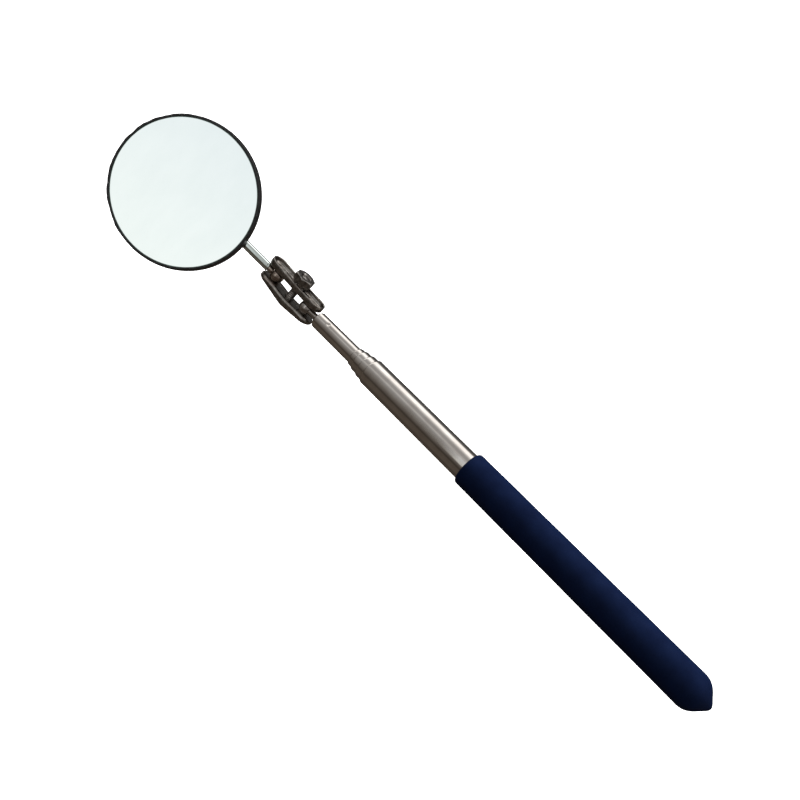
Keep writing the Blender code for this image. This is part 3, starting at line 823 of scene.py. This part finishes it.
def tumbled_plate(name, where, tones=PLAIN_STEEL, rough=0.20):
    """Grey-brown plated steel: mottled, slightly pitted, with rust-brown streaks."""
    f = Finish(name, where)
    cloud = f.noise(1.6, 6.0)
    streak = f.span(f.noise(0.5, 3.0, (1, 1, 9)), 0.52, 0.68, 0.0, 0.55)
    grain = f.noise(0.22, 4.0)
    pits = f.span(f.noise(0.4, 2.0), 0.64, 0.72, 0.0, 1.0)
    colour = f.mix(f.span(cloud, 0.32, 0.68, 0.0, 1.0), *tones)
    colour = f.mix(streak, colour, RUSTY_BROWN)
    colour = f.mix(f.maths("MULTIPLY", pits, 0.6), colour, PIT_BROWN)
    finish = f.span(f.noise(0.9, 5.0), 0.3, 0.7, rough, rough + 0.17)
    normal = f.bump(grain, 0.011, 0.45, f.bump(pits, -0.02, 0.5))
    return f.done(Base_Color=colour, Metallic=1.0, Roughness=finish, Normal=normal)


def turned_brass(name, where):
    """Brass with tool marks round its axis."""
    f = Finish(name, where)
    marks = f.noise(0.08, 2.0, (60, 60, 1))
    colour = f.mix(f.noise(2.0, 4.0), *BRASS)
    return f.done(Base_Color=colour, Metallic=1.0, Roughness=f.span(marks, 0.3, 0.7, 0.2, 0.38),
                  Normal=f.bump(marks, 0.01, 0.5))


def navy_vinyl(name, where):
    """Matt dipped vinyl: a fine skin texture, faint blooms and a little dust."""
    f = Finish(name, where)
    bloom = f.noise(7.0, 5.0)
    skin = f.noise(0.16, 3.0)
    ripple = f.noise(1.4, 3.0)
    dust = f.span(f.noise(0.5, 3.0), 0.66, 0.78, 0.0, 0.35)
    colour = f.mix(f.span(bloom, 0.3, 0.7, 0.0, 1.0), *VINYL)
    colour = f.mix(dust, colour, VINYL_DUST)
    normal = f.bump(skin, 0.035, 0.55, f.bump(ripple, 0.05, 0.4))
    return f.done(Base_Color=colour, Roughness=f.span(bloom, 0.3, 0.7, 0.75, 0.62),
                  Specular_IOR_Level=0.10, Normal=normal)


def black_lacquer(name, where):
    """Black lacquered cup: slight orange peel and grey wear on the crimped edge."""
    f = Finish(name, where)
    peel = f.noise(0.7, 3.0)
    wear = f.span(f.noise(1.1, 5.0), 0.6, 0.75, 0.0, 1.0)
    on_lip = f.span(f.axis("Z"), -0.4, GAP + LIP_T, 0.0, 0.55)
    colour = f.mix(f.noise(4.0, 4.0), *LACQUER)
    colour = f.mix(f.maths("MULTIPLY", wear, on_lip), colour, LACQUER_WEAR)
    return f.done(Base_Color=colour, Roughness=f.span(peel, 0.3, 0.7, 0.30, 0.42), Specular_IOR_Level=0.45,
                  Normal=f.bump(peel, 0.03, 0.35))


def silvered_glass(name, where):
    """Silvered face with faint wiped smudges, a ground greenish edge and a painted back."""
    f = Finish(name, where)
    rim = f.span(f.radius(), GLASS_R - GLASS_BEVEL - 0.12, GLASS_R - GLASS_BEVEL + 0.02, 0.0, 1.0)
    rear = f.span(f.axis("Z"), -GLASS_T + 0.25, -GLASS_T + 0.15, 0.0, 1.0)
    wiped = f.noise(9.0, 5.0, (1, 2, 1))
    ground = f.noise(0.12, 3.0)
    silver = f.mix(f.span(wiped, 0.3, 0.7, 0.0, 1.0), *SILVER)
    edge = f.mix(ground, *GLASS_EDGE)
    colour = f.mix(rear, f.mix(rim, silver, edge), f.mix(ground, *BACKING_PAINT))
    dull = f.maths("MAXIMUM", rim, rear)
    gloss = f.span(dull, 0.0, 1.0, 0.022, 0.32)
    finish = f.maths("ADD", gloss, f.span(wiped, 0.55, 0.75, 0.0, 0.02))
    normal = f.bump(f.maths("MULTIPLY", ground, dull), 0.02, 0.5)
    return f.done(Base_Color=colour, Metallic=f.maths("SUBTRACT", 1.0, dull), Roughness=finish, Normal=normal)


def pad_foam(name, where):
    """Open-celled grey foam, with painted shade darkening the hollow of each cell."""
    f = Finish(name, where)
    cells = f.add("TexVoronoi", {"Vector": f.place, "Scale": 1.8}).outputs["Distance"]
    colour = f.mix(f.span(cells, 0.1, 0.7, 0.0, 1.0), *FOAM_AND_PORE_SHADE)
    return f.done(Base_Color=colour, Roughness=0.92, Normal=f.bump(cells, 0.15, 0.7))


# ---- light, floor and camera -------------------------------------------------------------------
# The room round the tool, from the front (0 degrees) up over it and down behind: degrees, brightness,
# and how much of the warm tint that stretch has.
ROOM_BANDS = (
    (-180, 0.10, 0), (-130, 0.10, 1), (-70, 0.055, 1), (-50, 0.095, 1), (-14, 0.085, 1),
    (-4, 0.042, 1), (10, 0.12, 0.6), (24, 0.18, 0.4), (38, 0.27, 0.2), (55, 0.37, 0),
    (68, 0.66, 0), (78, 0.44, 0), (95, 0.46, 0), (108, 0.95, 0), (118, 1.75, 0),
    (139, 1.75, 0), (146, 0.40, 0), (158, 0.11, 0), (180, 0.10, 0),
)
WARM_TINT = (1.18, 0.98, 0.80)
PANEL_LOW = (0.985, 1.01, 0.985)            # soft panel that the glass faces, at its lower edge
PANEL_HIGH = (0.865, 0.90, 0.925)           # and from PANEL_SHADED degrees upwards
PANEL_SHADED = 42
PANEL_ACROSS = (-0.16, -0.10, 0.30, 0.34)   # where it fades in and out, as the sine of its bearing
PANEL_UP = (18, 27, 58, 66)                 # and as its height in degrees
FLOOR_SIZE = 3.0                            # metres
FLOOR_HEIGHT = -0.12                        # low enough for the mirror to swing down past the grip
DOME_RADIUS = 12.0


def room():
    """World light: bands across the tool's length and a pale panel in front of the mirror."""
    world = bpy.data.worlds.new("room")
    bpy.context.scene.world = world
    world.use_nodes = True
    tree = world.node_tree

    def add(kind, inputs=(), **settings):
        made = tree.nodes.new("ShaderNode" + kind)
        for key, value in settings.items():
            setattr(made, key, value)
        for key, value in dict(inputs).items():
            if isinstance(value, bpy.types.NodeSocket):
                tree.links.new(value, made.inputs[key])
            else:
                made.inputs[key].default_value = value
        return made

    direction = add("TexCoord").outputs["Generated"]
    parts = add("SeparateXYZ", {0: direction}).outputs
    towards_camera = add("Math", {0: parts["Y"], 1: -1.0}, operation="MULTIPLY").outputs[0]
    angle = add("Math", {0: parts["Z"], 1: towards_camera}, operation="ARCTAN2").outputs[0]
    along = add("MapRange", {"Value": angle, "From Min": -pi, "From Max": pi}).outputs[0]
    ramp = add("ValToRGB", {"Fac": along})
    stops = ramp.color_ramp.elements
    for number, (degrees, level, warmth) in enumerate(ROOM_BANDS):
        if number > 1:
            stops.new(1.0)
        stop = stops[number]
        stop.position = (degrees + 180) / 360
        stop.color = (*(level * (1 + warmth * (tint - 1)) for tint in WARM_TINT), 1.0)
    panel = 1.0
    for value, edges in ((parts["X"], PANEL_ACROSS), (angle, [radians(a) for a in PANEL_UP])):
        for start, end in (edges[:2], edges[:1:-1]):
            inside = add("MapRange", {"Value": value, "From Min": start, "From Max": end}).outputs[0]
            panel = add("Math", {0: panel, 1: inside}, operation="MULTIPLY").outputs[0]
    shaded = {"Value": angle, "From Min": radians(PANEL_UP[1]), "From Max": radians(PANEL_SHADED)}
    rise = add("MapRange", shaded).outputs[0]
    shade = add("Mix", {0: rise, 6: (*PANEL_LOW, 1.0), 7: (*PANEL_HIGH, 1.0)}, data_type="RGBA").outputs[2]
    mixed = add("Mix", {0: panel, 6: ramp.outputs[0], 7: shade}, data_type="RGBA").outputs[2]
    tree.links.new(mixed, tree.nodes["Background"].inputs["Color"])


def soft_light(name, at, size, power):
    """Square soft light aimed at the tool, kept out of its reflections."""
    lamp = bpy.data.lights.new(name, "AREA")
    lamp.size = size
    lamp.energy = power
    obj = bpy.data.objects.new(name, lamp)
    bpy.context.scene.collection.objects.link(obj)
    obj.location = at
    obj.rotation_euler = (-Vector(at)).to_track_quat("-Z", "Y").to_euler()
    obj.visible_glossy = False


def pale_stage(name, build, base, glow):
    """A surface that only the camera sees, so that it neither reflects in the metal nor lights it."""
    mesh = bpy.data.meshes.new(name)
    solid = bmesh.new()
    build(solid)
    solid.to_mesh(mesh)
    solid.free()
    obj = bpy.data.objects.new(name, mesh)
    bpy.context.scene.collection.objects.link(obj)
    mat = bpy.data.materials.new("pale_" + name)
    mat.use_nodes = True
    shader = mat.node_tree.nodes["Principled BSDF"]
    shader.inputs["Base Color"].default_value = (base, base, base, 1.0)
    shader.inputs["Roughness"].default_value = 1.0
    shader.inputs["Specular IOR Level"].default_value = 0.0
    shader.inputs["Emission Color"].default_value = (1.0, 1.0, 1.0, 1.0)
    shader.inputs["Emission Strength"].default_value = glow
    obj.data.materials.append(mat)
    obj.visible_glossy = False
    obj.visible_diffuse = False
    return obj


def pale_room():
    """A floor under the tool and a dome round both, so that every view has a pale background."""
    def flat(mesh):
        bmesh.ops.create_grid(mesh, x_segments=1, y_segments=1, size=FLOOR_SIZE)

    def round_shell(mesh):
        bmesh.ops.create_icosphere(mesh, subdivisions=4, radius=DOME_RADIUS)

    ground = pale_stage("floor", flat, 0.93, 0.7)
    dome = pale_stage("dome", round_shell, 0.0, 0.93)
    ground.location.z = FLOOR_HEIGHT
    dome.visible_shadow = False
    dome.visible_transmission = False


def camera():
    lens = bpy.data.cameras.new("camera")
    lens.lens = 36
    lens.sensor_width = 36
    lens.clip_start = 0.01
    obj = bpy.data.objects.new("camera", lens)
    bpy.context.scene.collection.objects.link(obj)
    obj.location = (0.1027, -0.18199, 0.20067)
    obj.rotation_euler = [radians(a) for a in (46.385, -19.514, 45.1)]
    bpy.context.scene.camera = obj


camera()
bpy.context.scene.view_settings.view_transform = "Standard"

nickel = bright_plate("nickel_plate", TOOL, NICKEL, 0.10)
chrome = bright_plate("chrome_rod", HEAD, CHROME, 0.08)
steel_tool = tumbled_plate("plated_steel_stud", TOOL)
steel_clamp = tumbled_plate("plated_steel_clamp", CLAMP, CLAMP_STEEL)
steel_screw = tumbled_plate("plated_steel_screw", SCREW, SCREW_STEEL)
steel_nut = tumbled_plate("plated_steel_nut", NUT, NUT_STEEL)
bright_stud = bright_plate("plated_stud", TOOL, STUD_PLATE, 0.20)
bright_ball = tumbled_plate("plated_ball", HANDLE, HANDLE_BALL_STEEL, 0.16)
steel_ball = tumbled_plate("plated_steel_ball", MIRROR_SIDE, MIRROR_BALL_STEEL, 0.14)
steel_head = tumbled_plate("plated_steel_saddle", HEAD)
brass = turned_brass("turned_brass", TOOL)

piece("grip", grip(), TOOL, navy_vinyl("navy_vinyl", TOOL))
for number in range(len(TUBE_MOUTHS)):
    title = f"tube_{number + 1}" + {0: "_outer", len(TUBE_MOUTHS) - 1: "_inner"}.get(number, "")
    piece(title, tube(number), TOOL, nickel)
    if number:
        piece(f"bushing_{number + 1}", bushing(number), TOOL, brass)
piece("outer_tube_end_plug", end_plug(), TOOL, steel_tool)
piece("ball_stud", ball_stud(), TOOL, bright_stud)
piece("handle_ball", ball(1), HANDLE, bright_ball)
piece("clamp_plate_front", front_plate(), CLAMP, steel_clamp)
piece("clamp_plate_back", back_plate(), CLAMP, steel_clamp)
piece("clamp_screw", clamp_screw(), SCREW, steel_screw, 24.0)
piece("clamp_lock_washer", lock_washer(), SCREW, steel_clamp)
piece("clamp_nut", clamp_nut(), NUT, steel_nut, 22.0)
piece("mirror_ball", ball(-1), MIRROR_SIDE, steel_ball)
piece("mirror_ball_neck", mirror_ball_neck(), STEM, steel_ball)
piece("mirror_stem", mirror_stem(), HEAD, chrome)
piece("stem_saddle", stem_saddle(), HEAD, steel_head)
piece("mirror_case", mirror_case(), FACE, black_lacquer("black_lacquer", FACE))
piece("mirror_glass", mirror_glass(), FACE, silvered_glass("silvered_glass", FACE))
foam = piece("mirror_pad", mirror_pad(), FACE, pad_foam("pad_foam", FACE))

room()
soft_light("key", (0.10, 0.80, 0.95), 0.7, 18.0)
soft_light("fill", (0.30, -0.80, 0.90), 1.0, 1.0)
pale_room()
